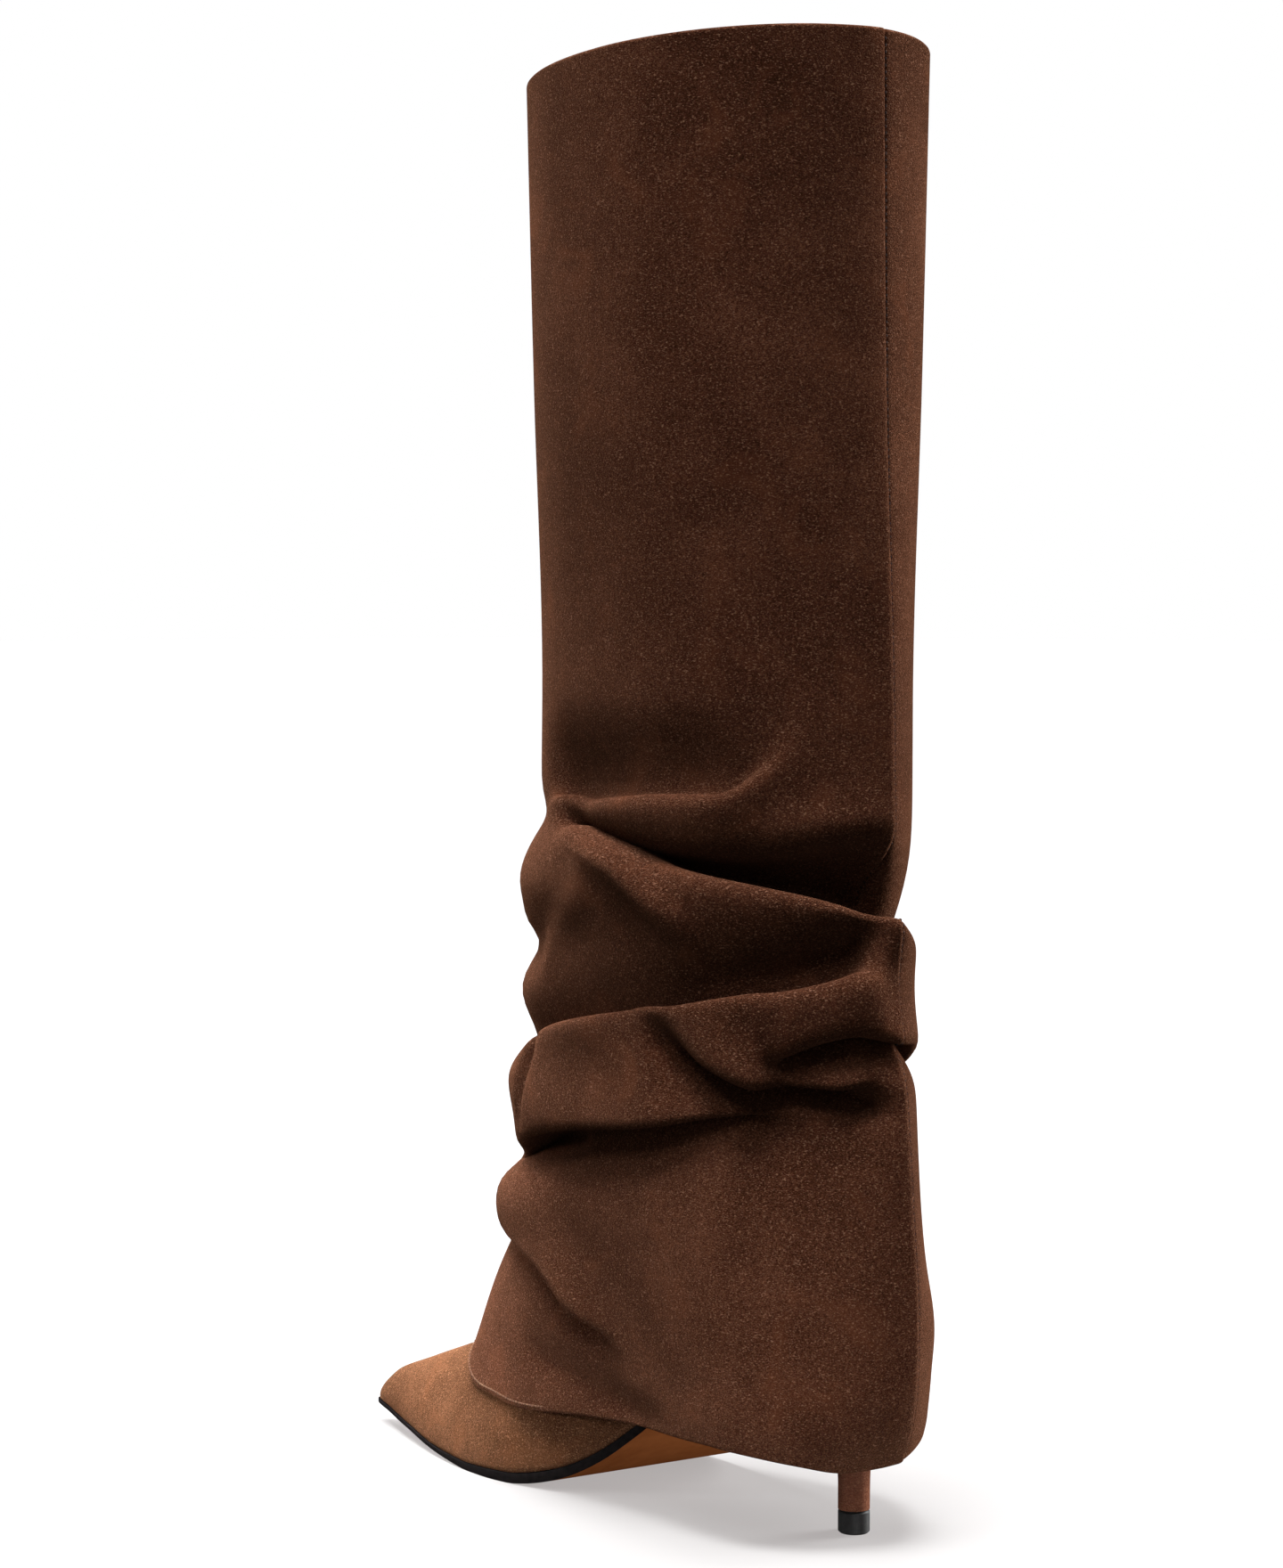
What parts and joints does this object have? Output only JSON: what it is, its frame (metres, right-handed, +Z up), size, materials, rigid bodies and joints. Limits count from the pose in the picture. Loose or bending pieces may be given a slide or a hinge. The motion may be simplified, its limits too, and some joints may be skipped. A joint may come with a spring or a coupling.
{
  "type": "knee-high slouch dress boot",
  "caption": "Right knee-high suede dress boot with pointed toe, slim wrapped heel and a loose slouched shaft that hangs past the heel",
  "frame": {"origin": "middle of the boot's footprint box, on the floor", "axes": "+Z is up, the toe looks along -Y, and +X is the wearer's inner (medial) side of this right boot"},
  "size_m": [0.1202, 0.242, 0.455],
  "materials": {
    "outsole_leather": "smooth tan sole leather with a black-inked edge",
    "insole_sock": "matt light-brown sock leather",
    "heel_suede": "brown suede wrap with fine nap",
    "tip_rubber": "black rubber, slightly glossy",
    "upper_suede": "brown suede with fine nap",
    "shaft_suede": "soft brown suede with fine nap and slouch folds"
  },
  "bodies": {
    "root": {"outsole": "outsole_leather", "insole": "insole_sock", "heel": "heel_suede", "heel_tip": "tip_rubber", "upper": "upper_suede", "shaft": "shaft_suede"}
  },
  "joints": []
}
